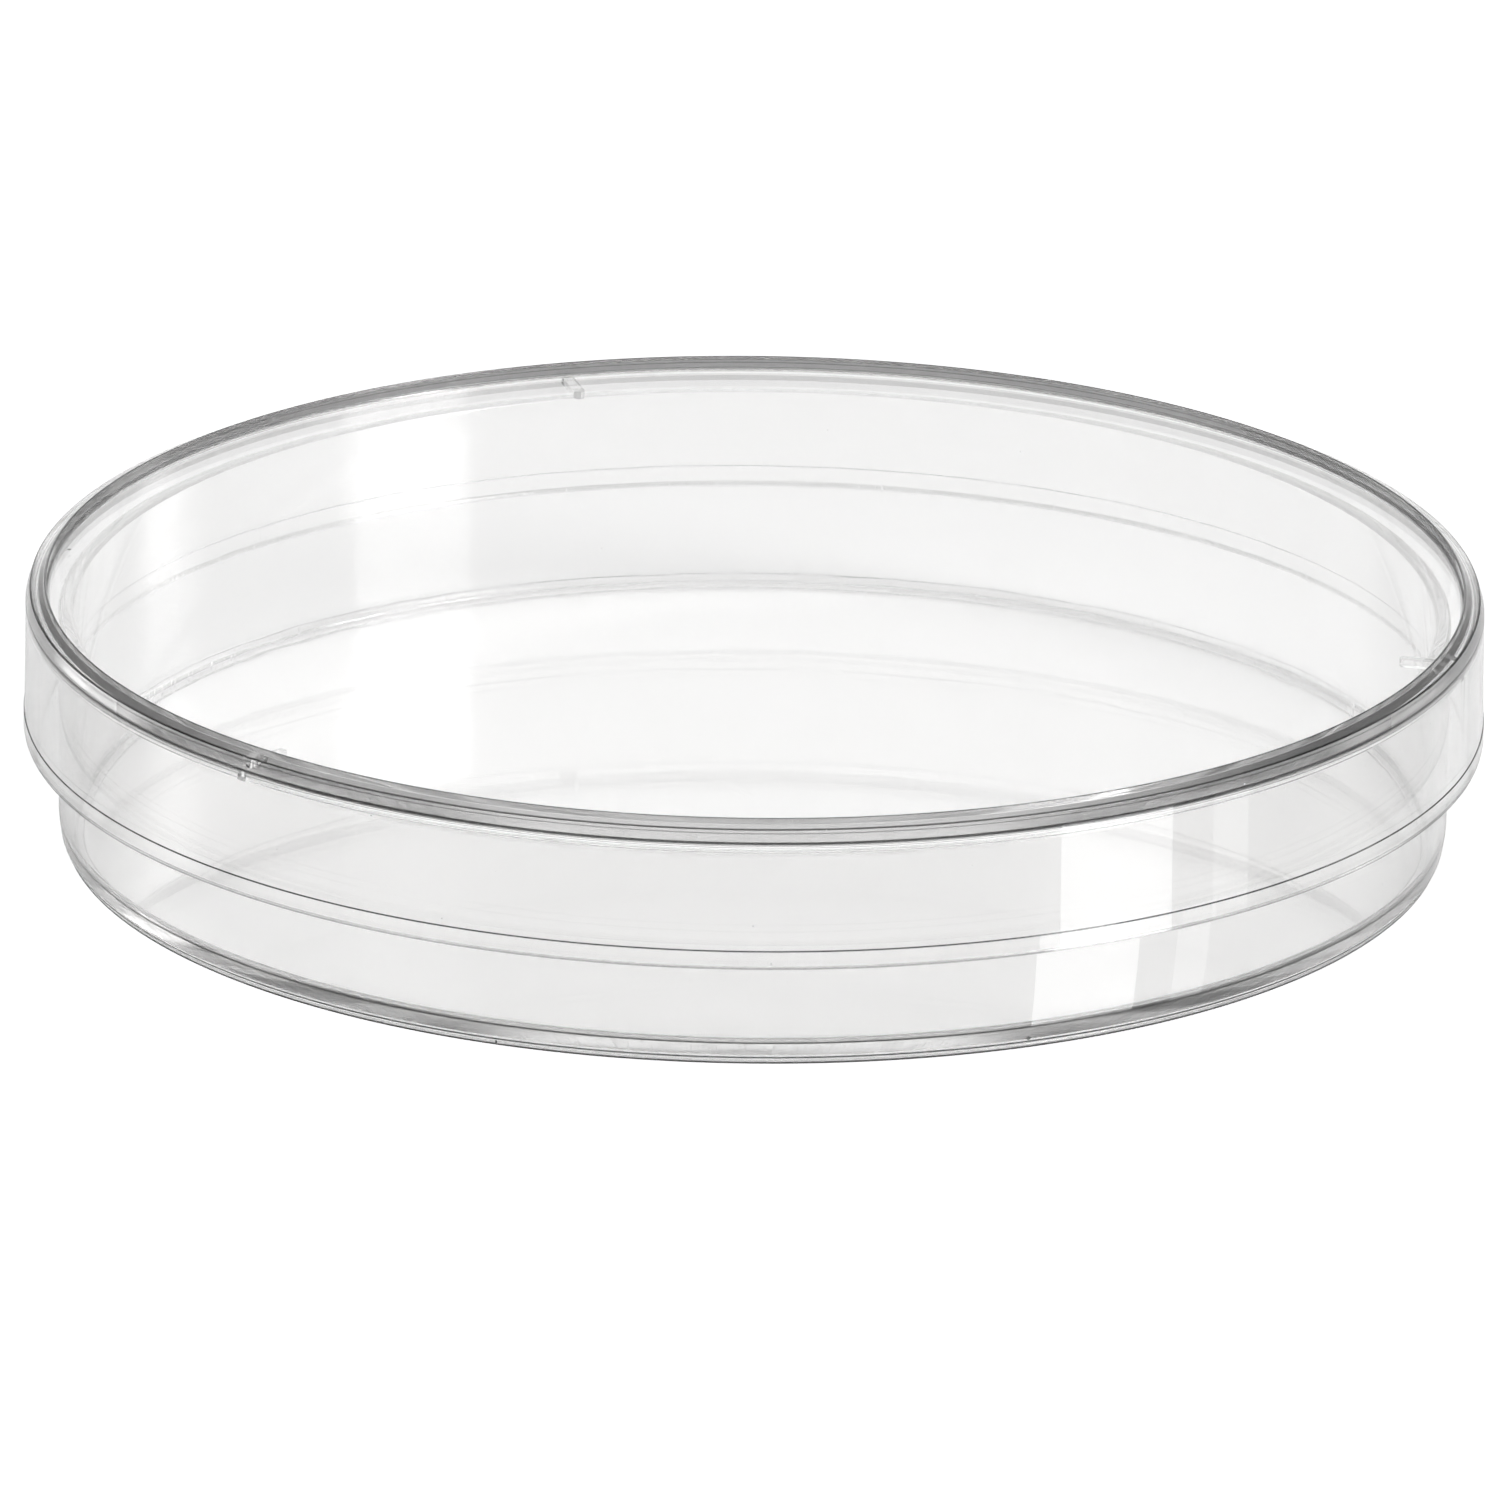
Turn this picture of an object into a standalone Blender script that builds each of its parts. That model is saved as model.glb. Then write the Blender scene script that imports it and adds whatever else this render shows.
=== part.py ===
"""Vented petri dish: a shallow moulded base and the loose lid that covers it.

Both pieces are turned shells of clear polystyrene about the +Z axis. The origin is the centre of
the face the dish stands on. Lengths are in metres and angles in degrees.
"""

import math

import bmesh
import bpy
from mathutils import Matrix

MM = 0.001

# Whole object
LID_DIAMETER = 91.0 * MM
OVERALL_HEIGHT = 16.4 * MM
WALL = 1.0 * MM
DRAFT = 0.05 * MM  # how much each wall opens towards its free edge
STEPS = 96  # segments round each turned piece

# Lid: flat panel, raised stacking rim round it, skirt hanging outside the base
LID_PANEL = 0.87 * MM
STACKING_RIM_HEIGHT = 0.85 * MM
STACKING_RIM_INNER_RADIUS = 44.1 * MM
RIM_CREST = 0.08 * MM  # flat width of the rim's top
RIM_BREAK_RADIUS = 45.15 * MM  # the rim's sloping top ends here
RIM_BREAK_DROP = 0.5 * MM
RIM_SHOULDER_DROP = 1.28 * MM  # and its steeper outer face ends here
SKIRT_BOTTOM = 7.0 * MM
SKIRT_STEP_HEIGHT = 1.15 * MM  # the parting step, above the skirt's lower edge
SKIRT_STEP = 0.05 * MM
SKIRT_EDGE = 0.1 * MM
LID_INNER_CORNER = 0.4 * MM

# Vent ribs: they hold the lid off the base's rim, so that air passes
RIB_ANGLES = (105.8, 225.8, 345.8)
RIB_INNER_END = 41.2 * MM
RIB_OUTER_END = 44.8 * MM
RIB_WIDTH = 0.7 * MM
RIB_DROP = 0.48 * MM
RIB_EMBED = 0.4 * MM  # how far a rib runs up into the panel
RIB_SIDES = 16

# Base: floor slab, low foot ring under it, and the wall
REST_GAP = 0.3 * MM  # between the vent ribs and the base's rim
BASE_DIAMETER = 86.7 * MM
FOOT_HEIGHT = 0.42 * MM
FOOT_OUTER_RADIUS = 42.95 * MM
FOOT_INNER_RADIUS = 41.75 * MM
FLOOR_TOP = 1.3 * MM
HEEL_HEIGHT = 1.05 * MM  # the tapered band between the foot and the wall
HEEL_INSET = 0.15 * MM
FLOOR_CORNER = 0.5 * MM
BASE_RIM_EDGE = 0.25 * MM

ARC_POINTS = 4  # points in a quarter turn of a rounded edge
MERGE = 0.00001

POLYSTYRENE = (0.93, 0.94, 0.94, 1.0)


def clear_scene():
    for obj in list(bpy.data.objects):
        bpy.data.objects.remove(obj, do_unlink=True)


def make_collection(name):
    collection = bpy.data.collections.new(name)
    bpy.context.scene.collection.children.link(collection)
    return collection


def clear_polystyrene():
    material = bpy.data.materials.new("clear_polystyrene")
    material.use_nodes = True
    shader = material.node_tree.nodes["Principled BSDF"]
    shader.inputs["Base Color"].default_value = POLYSTYRENE
    shader.inputs["Roughness"].default_value = 0.03
    shader.inputs["Metallic"].default_value = 0.0
    shader.inputs["IOR"].default_value = 1.59
    shader.inputs["Transmission Weight"].default_value = 1.0
    return material


def arc(centre_r, centre_z, radius, start, end):
    """Points (r, z) of an arc in the section plane, from one angle to another."""
    count = max(2, round(ARC_POINTS * abs(end - start) / 90.0))
    points = []
    for step in range(count + 1):
        angle = math.radians(start + (end - start) * step / count)
        points.append((centre_r + radius * math.cos(angle), centre_z + radius * math.sin(angle)))
    return points


def lid_section():
    """Half section of the lid, from the top centre out over the rim, down the skirt and back in."""
    top = OVERALL_HEIGHT
    panel_top = top - STACKING_RIM_HEIGHT
    panel_under = panel_top - LID_PANEL
    outer = LID_DIAMETER / 2
    neck = outer - SKIRT_STEP
    shoulder = neck - DRAFT
    inner = outer - WALL
    inner_top = inner - DRAFT
    step_z = SKIRT_BOTTOM + SKIRT_STEP_HEIGHT

    points = [(0.0, panel_top), (STACKING_RIM_INNER_RADIUS, panel_top)]
    points += [(STACKING_RIM_INNER_RADIUS, top), (STACKING_RIM_INNER_RADIUS + RIM_CREST, top)]
    points += [(RIM_BREAK_RADIUS, top - RIM_BREAK_DROP), (shoulder, top - RIM_SHOULDER_DROP)]
    points += [(neck, step_z + SKIRT_STEP), (outer, step_z)]
    points += arc(outer - SKIRT_EDGE, SKIRT_BOTTOM + SKIRT_EDGE, SKIRT_EDGE, 0, -90)
    points += arc(inner + SKIRT_EDGE, SKIRT_BOTTOM + SKIRT_EDGE, SKIRT_EDGE, -90, -180)
    points += arc(inner_top - LID_INNER_CORNER, panel_under - LID_INNER_CORNER, LID_INNER_CORNER, 0, 90)
    points.append((0.0, panel_under))
    return points


def base_section():
    """Half section of the base, from the floor's centre up over the rim, down the wall and back in."""
    rim_top = lid_rib_underside() - REST_GAP
    outer = BASE_DIAMETER / 2
    outer_low = outer - DRAFT
    inner = outer - WALL
    inner_low = inner - DRAFT
    heel_top = FOOT_HEIGHT + HEEL_HEIGHT

    points = [(0.0, FLOOR_TOP)]
    points += arc(inner_low - FLOOR_CORNER, FLOOR_TOP + FLOOR_CORNER, FLOOR_CORNER, -90, 0)
    points += arc(inner + BASE_RIM_EDGE, rim_top - BASE_RIM_EDGE, BASE_RIM_EDGE, 180, 90)
    points += arc(outer - BASE_RIM_EDGE, rim_top - BASE_RIM_EDGE, BASE_RIM_EDGE, 90, 0)
    points += [(outer_low, heel_top), (outer_low - HEEL_INSET, FOOT_HEIGHT)]
    points += [(FOOT_OUTER_RADIUS, FOOT_HEIGHT), (FOOT_OUTER_RADIUS, 0.0)]
    points += [(FOOT_INNER_RADIUS, 0.0), (FOOT_INNER_RADIUS, FOOT_HEIGHT), (0.0, FOOT_HEIGHT)]
    return points


def lid_rib_underside():
    return OVERALL_HEIGHT - STACKING_RIM_HEIGHT - LID_PANEL - RIB_DROP


def turned(name, section, material, collection):
    """A closed turned piece: the section's outline, swept round +Z by a Screw modifier."""
    mesh = bpy.data.meshes.new(name)
    edges = [(index, index + 1) for index in range(len(section) - 1)]
    mesh.from_pydata([(r, 0.0, z) for r, z in section], edges, [])
    obj = bpy.data.objects.new(name, mesh)
    collection.objects.link(obj)
    screw = obj.modifiers.new("turn", "SCREW")
    screw.axis = "Z"
    screw.angle = 2 * math.pi
    screw.steps = STEPS
    screw.render_steps = STEPS
    screw.use_merge_vertices = True
    screw.merge_threshold = MERGE
    screw.use_smooth_shade = True
    mesh.materials.append(material)
    return obj


def vent_ribs(material, collection):
    """Three radial bars with round ends, as one helper mesh for the lid's union."""
    low = lid_rib_underside()
    high = low + RIB_DROP + RIB_EMBED
    round_end = RIB_WIDTH / 2
    inner_centre = RIB_INNER_END + round_end
    outer_centre = RIB_OUTER_END - round_end
    bm = bmesh.new()
    for angle in RIB_ANGLES:
        half_side = Matrix.Rotation(math.pi / RIB_SIDES, 4, "Z")
        made = bmesh.ops.create_cone(
            bm, cap_ends=True, segments=RIB_SIDES, radius1=round_end, radius2=round_end,
            depth=high - low, matrix=half_side,
        )
        spin = Matrix.Rotation(math.radians(angle), 4, "Z")
        for vert in made["verts"]:
            vert.co.x += outer_centre if vert.co.x > 0 else inner_centre
            vert.co.z += (low + high) / 2
            vert.co = spin @ vert.co
    mesh = bpy.data.meshes.new("vent_ribs")
    bm.to_mesh(mesh)
    bm.free()
    mesh.materials.append(material)
    ribs = bpy.data.objects.new("vent_ribs", mesh)
    ribs.hide_render = True
    ribs.display_type = "WIRE"
    collection.objects.link(ribs)
    return ribs


def join_solid(obj, other):
    union = obj.modifiers.new("join_" + other.name, "BOOLEAN")
    union.operation = "UNION"
    union.solver = "EXACT"
    union.object = other


def even_shading(obj):
    """Keeps the flat faces flat where they meet the rounded edges."""
    obj.modifiers.new("face_weighted_normals", "WEIGHTED_NORMAL")


def build():
    clear_scene()
    parts = make_collection("petri_dish")
    helpers = make_collection("helpers")
    material = clear_polystyrene()

    dish_base = turned("dish_base", base_section(), material, parts)
    lid = turned("lid", lid_section(), material, parts)
    join_solid(lid, vent_ribs(material, helpers))
    for piece in (dish_base, lid):
        even_shading(piece)


build()
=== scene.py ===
import math

import bmesh
import bpy
from mathutils import Matrix, Vector


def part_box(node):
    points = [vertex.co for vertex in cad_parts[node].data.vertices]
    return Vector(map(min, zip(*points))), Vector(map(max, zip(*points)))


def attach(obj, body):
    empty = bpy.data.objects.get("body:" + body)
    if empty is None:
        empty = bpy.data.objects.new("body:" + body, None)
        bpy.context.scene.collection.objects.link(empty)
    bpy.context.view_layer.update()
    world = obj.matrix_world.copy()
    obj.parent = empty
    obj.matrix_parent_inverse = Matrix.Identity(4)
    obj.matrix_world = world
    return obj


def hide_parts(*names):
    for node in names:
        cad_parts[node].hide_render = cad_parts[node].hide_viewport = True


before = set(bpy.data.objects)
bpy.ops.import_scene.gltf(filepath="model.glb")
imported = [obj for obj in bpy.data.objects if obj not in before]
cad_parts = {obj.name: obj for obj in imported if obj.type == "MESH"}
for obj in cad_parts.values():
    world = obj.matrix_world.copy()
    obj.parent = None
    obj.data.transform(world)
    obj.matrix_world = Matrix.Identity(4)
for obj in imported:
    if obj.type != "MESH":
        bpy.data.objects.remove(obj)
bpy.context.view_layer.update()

MM = 0.001

# Camera: a long lens at the front, a little above the dish
CAMERA_ELEVATION = 19.3
CAMERA_ROLL = -0.64
CAMERA_DISTANCE = 1.872
CAMERA_LENS = 720.0
CAMERA_SENSOR = 36.0
CAMERA_SIDE = 0.21 * MM
CAMERA_RISE = 5.06 * MM

# Lathe resolution: steps round the axis and steps in a quarter turn of a rounded corner
SEGMENTS = 360
ARC_POINTS = 8
SHARP_ANGLE = 35.0  # edges sharper than this stay hard

# Lid section
WALL = 1.0 * MM
DRAFT = 0.05 * MM
LID_PANEL = 0.87 * MM
RIM_HEIGHT = 0.85 * MM
RIM_INNER_RADIUS = 44.1 * MM
RIM_LIP = 0.07 * MM
RIM_BREAK_RADIUS = 45.15 * MM  # the rim's sloping top ends here
RIM_BREAK_DROP = 0.5 * MM
RIM_SHOULDER_DROP = 1.28 * MM  # and its steeper outer face ends here
RIM_EDGE = 0.08 * MM
PANEL_EDGE = 0.12 * MM
SKIRT_STEP_HEIGHT = 1.15 * MM
SKIRT_STEP = 0.05 * MM
SKIRT_EDGE = 0.06 * MM
LID_INNER_CORNER = 0.4 * MM
SMALL_EDGE = 0.05 * MM

# Vent ribs
RIB_ANGLES = (105.8, 225.8, 345.8)
RIB_INNER_END = 41.2 * MM
RIB_OUTER_END = 44.8 * MM
RIB_WIDTH = 0.7 * MM
RIB_DROP = 0.48 * MM
RIB_EMBED = 0.4 * MM
RIB_SIDES = 32

# Base section
FOOT_HEIGHT = 0.42 * MM
FOOT_OUTER_RADIUS = 42.95 * MM
FOOT_INNER_RADIUS = 41.75 * MM
FLOOR_TOP = 1.3 * MM
HEEL_HEIGHT = 1.05 * MM
HEEL_INSET = 0.15 * MM
FLOOR_CORNER = 0.5 * MM
BASE_RIM_EDGE = 0.25 * MM


def rounded(corners):
    """A section outline with each corner (r, z, radius) turned into an arc of that radius."""
    points = []
    for index, (r, z, radius) in enumerate(corners):
        if radius == 0:
            points.append((r, z))
            continue
        here = Vector((r, z))
        before = (Vector(corners[index - 1][:2]) - here).normalized()
        after = (Vector(corners[index + 1][:2]) - here).normalized()
        half = before.angle(after) / 2
        reach = radius / math.tan(half)
        centre = here + (before + after).normalized() * (radius / math.sin(half))
        first = here + before * reach - centre
        turn = first.angle_signed(here + after * reach - centre)
        count = max(2, round(ARC_POINTS * abs(math.degrees(turn)) / 90.0))
        for step in range(count + 1):
            spoke = first.copy()
            spoke.rotate(Matrix.Rotation(-turn * step / count, 2))
            points.append(tuple(centre + spoke))
    return points


def lid_section(low, high):
    """The lid from the axis out over the panel and the stacking rim, down the skirt and back under."""
    top, bottom, outer = high.z, low.z, high.x
    panel_top = top - RIM_HEIGHT
    under = panel_top - LID_PANEL
    neck = outer - SKIRT_STEP
    inner = outer - WALL
    step_z = bottom + SKIRT_STEP_HEIGHT
    return rounded([
        (0.0, panel_top, 0),
        (RIM_INNER_RADIUS, panel_top, PANEL_EDGE),
        (RIM_INNER_RADIUS, top, RIM_LIP),
        (RIM_BREAK_RADIUS, top - RIM_BREAK_DROP, RIM_EDGE),
        (neck - DRAFT, top - RIM_SHOULDER_DROP, RIM_EDGE),
        (neck, step_z + SKIRT_STEP, SMALL_EDGE / 2),
        (outer, step_z, SMALL_EDGE / 2),
        (outer, bottom, SKIRT_EDGE),
        (inner, bottom, SKIRT_EDGE),
        (inner - DRAFT, under, LID_INNER_CORNER),
        (0.0, under, 0),
    ])


def base_section(low, high):
    """The base from the axis out over its floor, up the wall, down outside and back under the foot."""
    rim, outer = high.z, high.x
    inner = outer - WALL
    outer_low = outer - DRAFT
    heel = FOOT_HEIGHT + HEEL_HEIGHT
    return rounded([
        (0.0, FLOOR_TOP, 0),
        (inner - DRAFT, FLOOR_TOP, FLOOR_CORNER),
        (inner, rim, BASE_RIM_EDGE),
        (outer, rim, BASE_RIM_EDGE),
        (outer_low, heel, SMALL_EDGE),
        (outer_low - HEEL_INSET, FOOT_HEIGHT, SMALL_EDGE),
        (FOOT_OUTER_RADIUS, FOOT_HEIGHT, SMALL_EDGE / 2),
        (FOOT_OUTER_RADIUS, low.z, SMALL_EDGE),
        (FOOT_INNER_RADIUS, low.z, SMALL_EDGE),
        (FOOT_INNER_RADIUS, FOOT_HEIGHT, SMALL_EDGE),
        (0.0, FOOT_HEIGHT, 0),
    ])


def lathe(name, section):
    """A closed mesh: the section swept round +Z, with one vertex at each end on the axis."""
    mesh = bpy.data.meshes.new(name)
    bm = bmesh.new()
    rings = []
    for r, z in section:
        if r < 1e-9:
            rings.append([bm.verts.new((0.0, 0.0, z))])
            continue
        turns = [2 * math.pi * index / SEGMENTS for index in range(SEGMENTS)]
        rings.append([bm.verts.new((r * math.cos(t), r * math.sin(t), z)) for t in turns])
    for upper, lower in zip(rings, rings[1:]):
        for index in range(SEGMENTS):
            following = (index + 1) % SEGMENTS
            corners = [upper[index % len(upper)], lower[index % len(lower)]]
            corners += [lower[following % len(lower)], upper[following % len(upper)]]
            bm.faces.new(list(dict.fromkeys(corners)))
    bm.to_mesh(mesh)
    bm.free()
    mesh.shade_smooth()
    obj = bpy.data.objects.new(name, mesh)
    bpy.context.scene.collection.objects.link(obj)
    return obj


def vent_ribs(low_z):
    """Three round-ended bars under the lid's panel, from the bottom height up into the panel."""
    round_end = RIB_WIDTH / 2
    bm = bmesh.new()
    for angle in RIB_ANGLES:
        made = bmesh.ops.create_cone(
            bm, cap_ends=True, segments=RIB_SIDES, radius1=round_end, radius2=round_end,
            depth=RIB_DROP + RIB_EMBED, matrix=Matrix.Rotation(math.pi / RIB_SIDES, 4, "Z"),
        )
        spin = Matrix.Rotation(math.radians(angle), 4, "Z")
        for vert in made["verts"]:
            vert.co.x += RIB_OUTER_END - round_end if vert.co.x > 0 else RIB_INNER_END + round_end
            vert.co.z += low_z + (RIB_DROP + RIB_EMBED) / 2
            vert.co = spin @ vert.co
    mesh = bpy.data.meshes.new("vent_ribs")
    bm.to_mesh(mesh)
    bm.free()
    ribs = bpy.data.objects.new("vent_ribs", mesh)
    bpy.context.scene.collection.objects.link(ribs)
    return ribs


def unite(obj, other):
    """Joins the other object's solid to the first and removes it."""
    union = obj.modifiers.new("join", "BOOLEAN")
    union.operation = "UNION"
    union.solver = "EXACT"
    union.object = other
    bpy.context.view_layer.update()
    graph = bpy.context.evaluated_depsgraph_get()
    joined = bpy.data.meshes.new_from_object(obj.evaluated_get(graph))
    obj.modifiers.clear()
    obj.data = joined
    bpy.data.objects.remove(other, do_unlink=True)


def keep_flat(obj):
    """Flat faces shade flat, small roundings shade smooth and hard edges stay hard."""
    obj.data.set_sharp_from_angle(angle=math.radians(SHARP_ANGLE))
    normals = obj.modifiers.new("face_normals", "WEIGHTED_NORMAL")
    normals.weight = 100
    normals.keep_sharp = True


# Clear polystyrene
INDEX = 1.59
BODY_TINT = (0.5, 0.495, 0.485, 1.0)
BODY_DENSITY = 6.0
CLEAR = (0.996, 0.995, 0.9935, 1.0)
# Near-black base colour: shade painted on the moulded edges as thin rings, and on the small marks
PAINTED_EDGE_SHADE = (0.02, 0.02, 0.02, 1.0)
# Surface detail: scales are cells per metre
HAZE_SCALE = 220.0
HAZE_ROUGHNESS = (0.008, 0.03)
DUST_SCALE = 900.0
DUST_SIZE = 0.06
DUST_SHARE = 0.1
DUST_ROUGHNESS = 0.4
DUST_DARKNESS = 0.6
SCRATCHES = ((24.0, 9000.0), (-61.0, 7000.0))  # direction in degrees, scale
SCRATCH_STRETCH = 0.02
SCRATCH_CUT = (0.66, 0.74)
SCRATCH_ROUGHNESS = 0.04
SCRATCH_DEPTH = -0.1
FLOW_SCALE = 90.0
BUMP_STRENGTH = 0.05
BUMP_DISTANCE = 0.1 * MM
# Where light is trapped at a moulded edge, the edge looks dark: this shade is painted as a thin dark ring
# in the
# base colour. Columns: height, half width, least and greatest radius, darkness
RING_SOFTNESS = 0.35
# How dark the broad ring of painted shade on the inner wall of the stacking rim is, darker than clear
# plastic shows
RIM_SHADE = 0.85
LID_RINGS = (
    (16.38 * MM, 0.06 * MM, 43.9 * MM, 44.25 * MM, 1.0),
    (15.95 * MM, 0.45 * MM, 43.9 * MM, 44.13 * MM, RIM_SHADE),
    (15.92 * MM, 0.04 * MM, 44.9 * MM, 45.3 * MM, 1.0),
    (15.7 * MM, 0.03 * MM, 44.9 * MM, 45.4 * MM, 0.8),
    (15.12 * MM, 0.09 * MM, 45.3 * MM, 45.6 * MM, 1.0),
    (8.18 * MM, 0.045 * MM, 45.3 * MM, 45.6 * MM, 1.0),
    (7.08 * MM, 0.08 * MM, 45.3 * MM, 45.6 * MM, 0.8),
)
BASE_RINGS = (
    (1.47 * MM, 0.06 * MM, 43.0 * MM, 43.5 * MM, 1.0),
    (0.49 * MM, 0.06 * MM, 43.0 * MM, 43.5 * MM, 1.0),
    (0.07 * MM, 0.07 * MM, 42.8 * MM, 43.5 * MM, 1.0),
)
# Small moulding marks, not shaped: shade painted as dark spots in the base colour. Radius from the axis,
# azimuth in degrees from +X, height, radius of the mark
LID_MARKS = ((43.45 * MM, 170.6, 15.55 * MM, 0.14 * MM),)
BASE_MARKS = (
    (43.22 * MM, 293.2, 0.7 * MM, 0.14 * MM),
    (42.95 * MM, 248.8, 0.24 * MM, 0.07 * MM),
    (42.95 * MM, 248.8, 0.16 * MM, 0.07 * MM),
)

# The table, the white sheet under it and the lit strips
TABLE_RADIUS = 4.0
TABLE_SIDES = 96
TABLE_GREY = (0.9, 0.9, 0.9, 1.0)
TABLE_ROUGHNESS = 0.6
WHITE = (1.0, 1.0, 1.0, 1.0)
SHEET_GLOW = 1.05
SHEET_DROP = 0.1 * MM
# Lit strips of the table at the right front: the walls' angles that mirror them, and how bright they are
CARDS = (
    (24.8, 34.8, 2.6),
    (38.8, 42.4, 1.0),
)
CARD_START = 46.0 * MM
CARD_LENGTH = 120.0 * MM
CARD_HEIGHT = 0.05 * MM
CARD_STEPS = 8
CARD_GREY = (0.8, 0.8, 0.8, 1.0)
CARD_ROUGHNESS = 0.5

# Studio light
SKY_DIM = 0.1
# Soft round patches of sky: azimuth (0 behind the camera, 90 at the right), elevation, inner and outer
# angle, level
SKY_PATCHES = (
    (180, 82, 20, 42, 0.95),
    (90, 12, 20, 48, 0.35),
    (270, 10, 18, 45, 0.3),
    (0, 15, 25, 70, 0.25),
)
# Softboxes: azimuth, elevation, half width, half height, edge softness, level
SOFTBOXES = (
    (180, 23, 16, 24, 5.0, 1.05),
    (180, 54, 14, 7, 3.0, 0.8),
    (61, 36, 11, 20, 1.0, 6.2),
    (116, 36, 5, 20, 3.0, 1.2),
    (122, 17, 8, 5, 3.0, 1.2),
    (236, 17, 10, 5, 3.0, 0.6),
)
# Light travels far inside the panel by total reflection, so the paths are long
BOUNCES = 128
TRANSMISSION_BOUNCES = 64


def add_node(tree, kind, **settings):
    """A new node with its settings and, for keys that name a socket, its default values."""
    node = tree.nodes.new(kind)
    for key, value in settings.items():
        if hasattr(node, key):
            setattr(node, key, value)
        else:
            node.inputs[key].default_value = value
    return node


def math_node(tree, operation, *values):
    """A Math node whose inputs are links or numbers."""
    node = add_node(tree, "ShaderNodeMath", operation=operation)
    for socket, value in zip(node.inputs, values):
        if isinstance(value, (int, float)):
            socket.default_value = value
        else:
            tree.links.new(value, socket)
    return node.outputs["Value"]


def fade(tree, value, start, end, low=0.0, high=1.0):
    """A smooth step of the value, from low at start to high at end."""
    node = add_node(tree, "ShaderNodeMapRange", interpolation_type="SMOOTHSTEP")
    for key, number in (("From Min", start), ("From Max", end), ("To Min", low), ("To Max", high)):
        node.inputs[key].default_value = number
    tree.links.new(value, node.inputs["Value"])
    return node.outputs["Result"]


def greatest_of(tree, masks):
    total = masks[0]
    for mask in masks[1:]:
        total = math_node(tree, "MAXIMUM", total, mask)
    return total


def ring_mask(tree, radius, height, rings):
    """How dark the painted shade rings are: 0 off them, and each ring's darkness on it."""
    masks = []
    for level, half, least, greatest, darkness in rings:
        distance = math_node(tree, "ABSOLUTE", math_node(tree, "SUBTRACT", height, level))
        band = fade(tree, distance, half * (1 + RING_SOFTNESS), half * (1 - RING_SOFTNESS), 0.0, darkness)
        outside = math_node(tree, "GREATER_THAN", radius, least)
        inside = math_node(tree, "LESS_THAN", radius, greatest)
        masks.append(math_node(tree, "MULTIPLY", math_node(tree, "MULTIPLY", outside, inside), band))
    return greatest_of(tree, masks)


def mark_mask(tree, place, marks):
    """1 on each small round mark, 0 elsewhere."""
    masks = []
    for radius, azimuth, height, size in marks:
        turn = math.radians(azimuth)
        gap = add_node(tree, "ShaderNodeVectorMath", operation="DISTANCE")
        tree.links.new(place, gap.inputs[0])
        gap.inputs[1].default_value = (radius * math.cos(turn), radius * math.sin(turn), height)
        masks.append(math_node(tree, "LESS_THAN", gap.outputs["Value"], size))
    return greatest_of(tree, masks)


def noise(tree, place, scale, detail=3.0):
    node = add_node(tree, "ShaderNodeTexNoise", Scale=scale, Detail=detail, Roughness=0.6)
    tree.links.new(place, node.inputs["Vector"])
    return node.outputs["Fac"]


def specks(tree, place):
    """Small round specks of dust: one in some of the cells of a Voronoi pattern."""
    cells = add_node(tree, "ShaderNodeTexVoronoi", Scale=DUST_SCALE)
    tree.links.new(place, cells.inputs["Vector"])
    pick = add_node(tree, "ShaderNodeSeparateColor")
    tree.links.new(cells.outputs["Color"], pick.inputs["Color"])
    chosen = math_node(tree, "LESS_THAN", pick.outputs["Red"], DUST_SHARE)
    radius = math_node(tree, "MULTIPLY", pick.outputs["Green"], DUST_SIZE)
    spot = math_node(tree, "LESS_THAN", cells.outputs["Distance"], radius)
    return math_node(tree, "MULTIPLY", chosen, spot)


def scratches(tree, place, turn, scale):
    """Fine straight scratches: thin streaks of a noise pattern drawn out along one direction."""
    mapping = add_node(tree, "ShaderNodeMapping")
    mapping.inputs["Rotation"].default_value = (0.0, 0.0, math.radians(turn))
    mapping.inputs["Scale"].default_value = (scale, scale * SCRATCH_STRETCH, scale)
    tree.links.new(place, mapping.inputs["Vector"])
    return fade(tree, noise(tree, mapping.outputs["Vector"], 1.0, 2.0), *SCRATCH_CUT)


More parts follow.
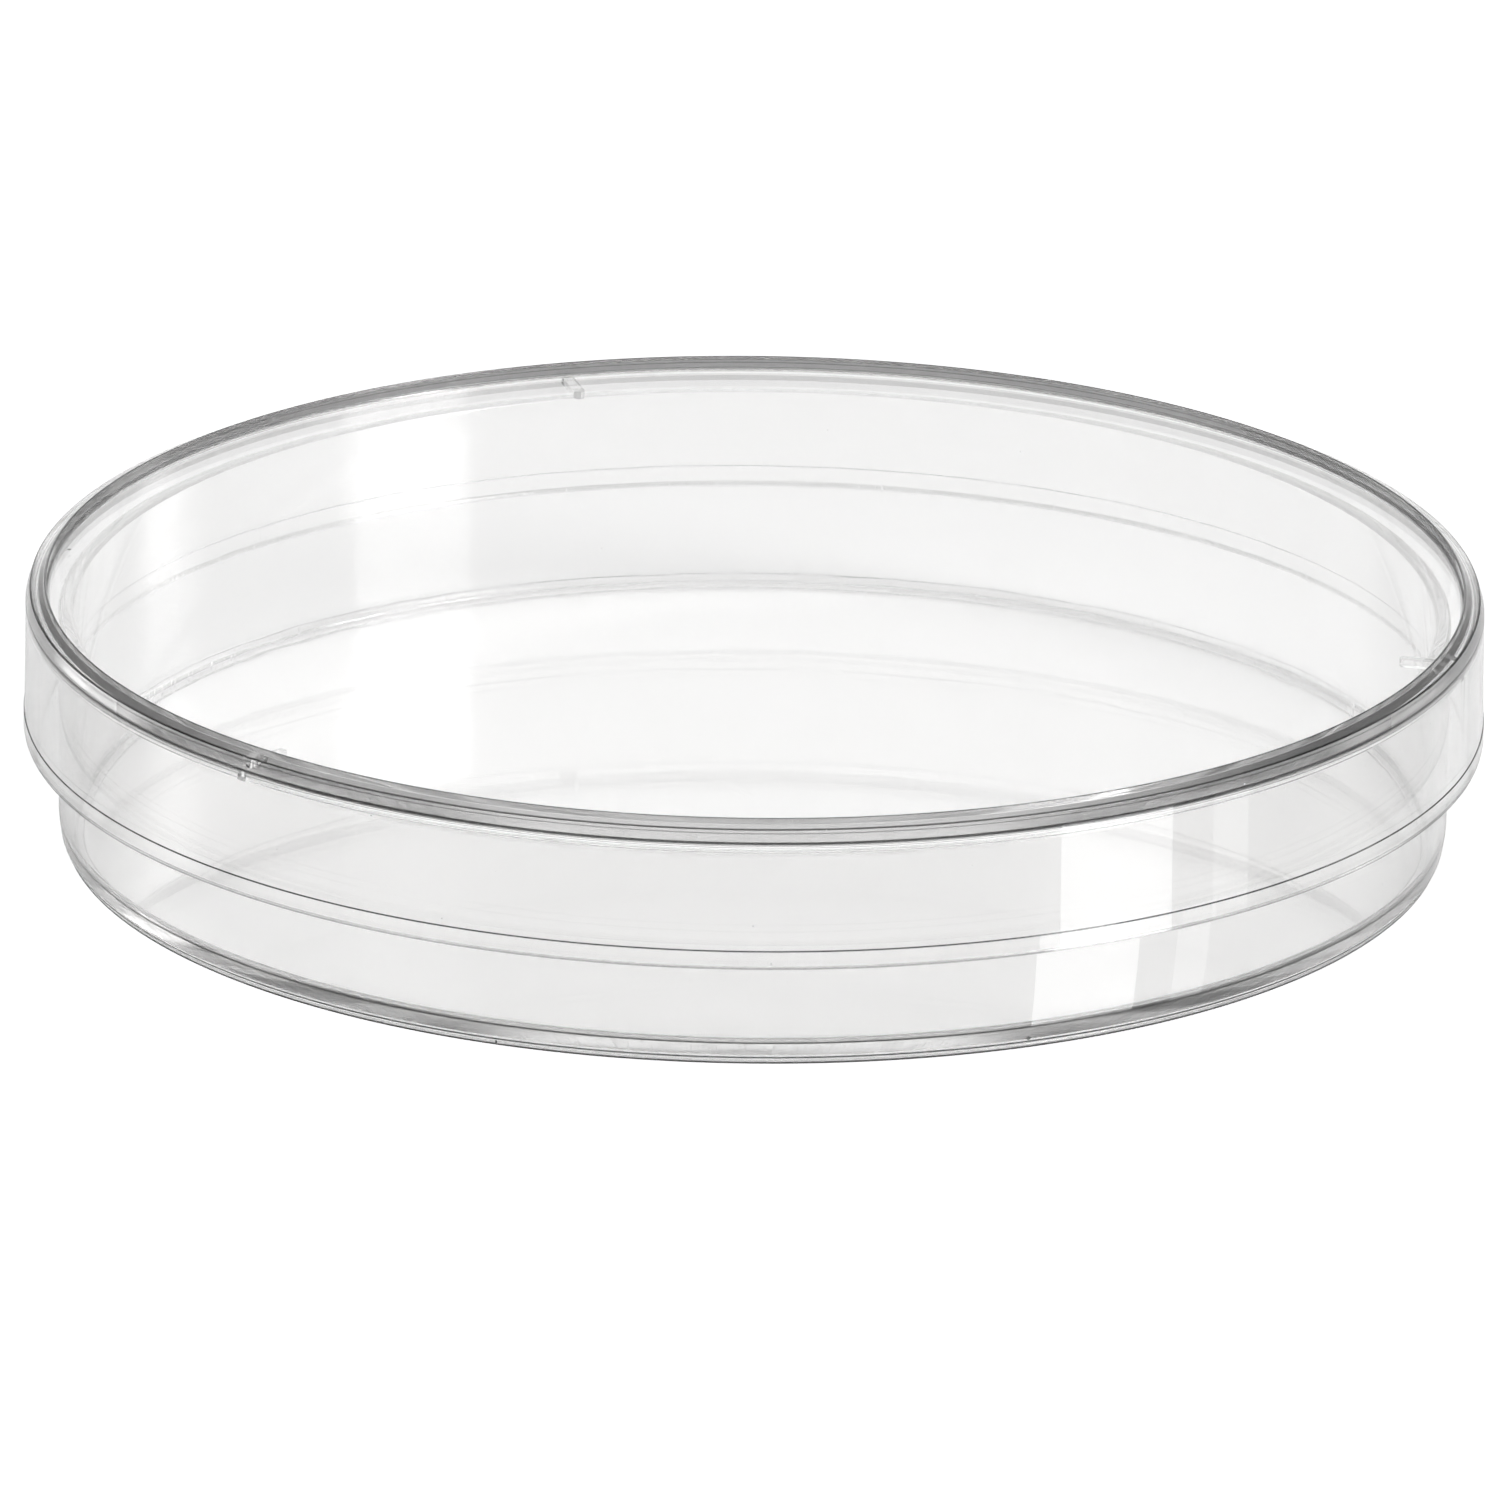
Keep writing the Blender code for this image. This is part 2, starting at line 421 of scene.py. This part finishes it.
def polystyrene(name, rings, marks):
    """Clear polystyrene: polished, with faint moulding haze, hairline scratches and dust, and shade
    painted as dark rings on its moulded edges and as dark spots on its small marks.
    """
    material = bpy.data.materials.new(name)
    material.use_nodes = True
    tree = material.node_tree
    shader = tree.nodes["Principled BSDF"]
    shader.inputs["Transmission Weight"].default_value = 1.0
    shader.inputs["IOR"].default_value = INDEX
    place = add_node(tree, "ShaderNodeTexCoord").outputs["Object"]
    parts = add_node(tree, "ShaderNodeSeparateXYZ")
    tree.links.new(place, parts.inputs["Vector"])
    flat = add_node(tree, "ShaderNodeCombineXYZ")
    tree.links.new(parts.outputs["X"], flat.inputs["X"])
    tree.links.new(parts.outputs["Y"], flat.inputs["Y"])
    length = add_node(tree, "ShaderNodeVectorMath", operation="LENGTH")
    tree.links.new(flat.outputs["Vector"], length.inputs[0])
    mask = ring_mask(tree, length.outputs["Value"], parts.outputs["Z"], rings)
    mask = math_node(tree, "MAXIMUM", mask, mark_mask(tree, place, marks))

    dust = specks(tree, place)
    wear = greatest_of(tree, [scratches(tree, place, *values) for values in SCRATCHES])
    haze = fade(tree, noise(tree, place, HAZE_SCALE), 0.35, 0.75, *HAZE_ROUGHNESS)
    rough = math_node(tree, "MULTIPLY_ADD", wear, SCRATCH_ROUGHNESS, haze)
    rough = math_node(tree, "MULTIPLY_ADD", dust, DUST_ROUGHNESS, rough)
    tree.links.new(rough, shader.inputs["Roughness"])

    flow = noise(tree, place, FLOW_SCALE, 2.0)
    height = math_node(tree, "MULTIPLY_ADD", wear, SCRATCH_DEPTH, flow)
    bump = add_node(tree, "ShaderNodeBump", Strength=BUMP_STRENGTH, Distance=BUMP_DISTANCE)
    tree.links.new(height, bump.inputs["Height"])
    tree.links.new(bump.outputs["Normal"], shader.inputs["Normal"])

    # The base colour turns near black where shade is painted on the edge rings and marks, and darker on
    # dust specks
    shade = math_node(tree, "MAXIMUM", mask, math_node(tree, "MULTIPLY", dust, DUST_DARKNESS))
    shade_and_dust_mix = add_node(tree, "ShaderNodeMix", data_type="RGBA")
    factor, clear, painted_shade = (shade_and_dust_mix.inputs[index] for index in (0, 6, 7))  # its factor and colour sockets
    tree.links.new(shade, factor)
    clear.default_value = CLEAR
    painted_shade.default_value = PAINTED_EDGE_SHADE
    tree.links.new(shade_and_dust_mix.outputs[2], shader.inputs["Base Color"])

    body = add_node(tree, "ShaderNodeVolumeAbsorption")
    body.inputs["Color"].default_value = BODY_TINT
    body.inputs["Density"].default_value = BODY_DENSITY
    tree.links.new(body.outputs["Volume"], tree.nodes["Material Output"].inputs["Volume"])
    return material


def make_camera():
    elevation, roll = math.radians(CAMERA_ELEVATION), math.radians(CAMERA_ROLL)
    forward = Vector((0.0, math.cos(elevation), -math.sin(elevation)))
    level = Vector((1.0, 0.0, 0.0))
    upward = Vector((0.0, math.sin(elevation), math.cos(elevation)))
    right = level * math.cos(roll) - upward * math.sin(roll)
    up = level * math.sin(roll) + upward * math.cos(roll)
    data = bpy.data.cameras.new("camera")
    data.lens = CAMERA_LENS
    data.sensor_width = CAMERA_SENSOR
    data.clip_start = 0.05
    data.clip_end = 50.0
    camera = bpy.data.objects.new("camera", data)
    place = upward * CAMERA_RISE - level * CAMERA_SIDE - forward * CAMERA_DISTANCE
    turn = Matrix((right, up, -forward)).transposed().to_4x4()
    camera.matrix_world = Matrix.Translation(place) @ turn
    bpy.context.scene.collection.objects.link(camera)
    bpy.context.scene.camera = camera


def stage_piece(name, bm, colour, roughness, glow):
    """A piece of the studio, plain coloured and lit by itself where it has a glow."""
    mesh = bpy.data.meshes.new(name)
    bm.to_mesh(mesh)
    bm.free()
    material = bpy.data.materials.new(name)
    material.use_nodes = True
    shader = material.node_tree.nodes["Principled BSDF"]
    shader.inputs["Base Color"].default_value = colour
    shader.inputs["Roughness"].default_value = roughness
    shader.inputs["Emission Color"].default_value = WHITE
    shader.inputs["Emission Strength"].default_value = glow
    material.cycles.emission_sampling = "NONE"
    mesh.materials.append(material)
    piece = bpy.data.objects.new(name, mesh)
    bpy.context.scene.collection.objects.link(piece)
    return piece


def floor_disc(name, height, glow):
    bm = bmesh.new()
    bmesh.ops.create_circle(bm, cap_ends=True, segments=TABLE_SIDES, radius=TABLE_RADIUS)
    floor = stage_piece(name, bm, TABLE_GREY, TABLE_ROUGHNESS, glow)
    floor.location.z = height
    return floor


def make_floor():
    """The table that lights and shows through the dish, and the white sheet the camera sees round it."""
    table = floor_disc("floor", 0.0, 0.0)
    table.visible_camera = False
    sheet = floor_disc("white_sheet", -SHEET_DROP, SHEET_GLOW)
    sheet.visible_diffuse = False
    sheet.visible_glossy = False
    sheet.visible_transmission = False
    sheet.visible_shadow = False


def make_card(name, start, end, glow):
    """A lit strip of the table, seen only in the reflections of the walls."""
    bm = bmesh.new()
    turns = [math.radians(start + (end - start) * step / CARD_STEPS) for step in range(CARD_STEPS + 1)]
    near, far = (
        [bm.verts.new((CARD_START * math.sin(t) + reach * math.sin(2 * t),
                       -CARD_START * math.cos(t) - reach * math.cos(2 * t), CARD_HEIGHT)) for t in turns]
        for reach in (0.0, CARD_LENGTH)
    )
    for step in range(CARD_STEPS):
        bm.faces.new((near[step], far[step], far[step + 1], near[step + 1]))
    card = stage_piece(name, bm, CARD_GREY, CARD_ROUGHNESS, glow)
    card.visible_camera = False
    card.visible_diffuse = False
    card.visible_transmission = False
    card.visible_shadow = False


def lobe(tree, direction, azimuth, elevation, inner, outer):
    """A soft-edged round patch of sky: 1 within the inner angle of its centre, 0 past the outer."""
    a, e = math.radians(azimuth), math.radians(elevation)
    centre = (math.sin(a) * math.cos(e), -math.cos(a) * math.cos(e), math.sin(e))
    dot = add_node(tree, "ShaderNodeVectorMath", operation="DOT_PRODUCT")
    dot.inputs[1].default_value = centre
    tree.links.new(direction, dot.inputs[0])
    return fade(tree, dot.outputs["Value"], math.cos(math.radians(outer)), math.cos(math.radians(inner)))


def softbox(tree, direction, azimuth, elevation, half_width, half_height, edge):
    """A rectangular soft light far away: 1 inside, falling to 0 over its edge. Angles in degrees."""
    turn = add_node(tree, "ShaderNodeVectorRotate", rotation_type="EULER_XYZ", invert=True)
    turn.inputs["Rotation"].default_value = (0.0, -math.radians(elevation), math.radians(azimuth - 90))
    tree.links.new(direction, turn.inputs["Vector"])
    parts = add_node(tree, "ShaderNodeSeparateXYZ")
    tree.links.new(turn.outputs["Vector"], parts.inputs["Vector"])
    ahead = math_node(tree, "GREATER_THAN", parts.outputs["X"], 0.0)
    for axis, half in (("Y", half_width), ("Z", half_height)):
        slope = math_node(tree, "DIVIDE", parts.outputs[axis], parts.outputs["X"])
        size = math_node(tree, "ABSOLUTE", slope)
        outer, inner = math.tan(math.radians(half + edge)), math.tan(math.radians(half - edge))
        ahead = math_node(tree, "MULTIPLY", ahead, fade(tree, size, outer, inner))
    return ahead


def make_world():
    world = bpy.data.worlds.new("studio")
    bpy.context.scene.world = world
    world.use_nodes = True
    world.cycles.sampling_method = "NONE"
    tree = world.node_tree
    background = tree.nodes["Background"]
    direction = add_node(tree, "ShaderNodeTexCoord").outputs["Generated"]
    lights = [(lobe(tree, direction, *patch[:-1]), patch[-1]) for patch in SKY_PATCHES]
    lights += [(softbox(tree, direction, *box[:-1]), box[-1]) for box in SOFTBOXES]
    total = SKY_DIM
    for mask, level in lights:
        total = math_node(tree, "MULTIPLY_ADD", mask, level, total)
    tree.links.new(total, background.inputs["Strength"])
    background.inputs["Color"].default_value = WHITE


scene = bpy.context.scene
scene.view_settings.view_transform = "Standard"
scene.cycles.max_bounces = BOUNCES
scene.cycles.glossy_bounces = BOUNCES
scene.cycles.transmission_bounces = TRANSMISSION_BOUNCES
scene.cycles.blur_glossy = 0.0

make_camera()
make_world()
make_floor()
for card_index, card_values in enumerate(CARDS):
    make_card(f"table_card_{card_index}", *card_values)

lid_low, lid_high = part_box("lid")
lid = lathe("lid_moulding", lid_section(lid_low, lid_high))
rib_low = lid_high.z - RIM_HEIGHT - LID_PANEL - RIB_DROP
unite(lid, vent_ribs(rib_low))
lid.data.materials.clear()
lid.data.materials.append(polystyrene("lid_clear_polystyrene", LID_RINGS, LID_MARKS))
keep_flat(lid)
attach(lid, "cover")
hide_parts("lid")

base_low, base_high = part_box("dish_base")
base = lathe("base_moulding", base_section(base_low, base_high))
base.data.materials.append(polystyrene("base_clear_polystyrene", BASE_RINGS, BASE_MARKS))
keep_flat(base)
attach(base, "dish")
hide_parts("dish_base")
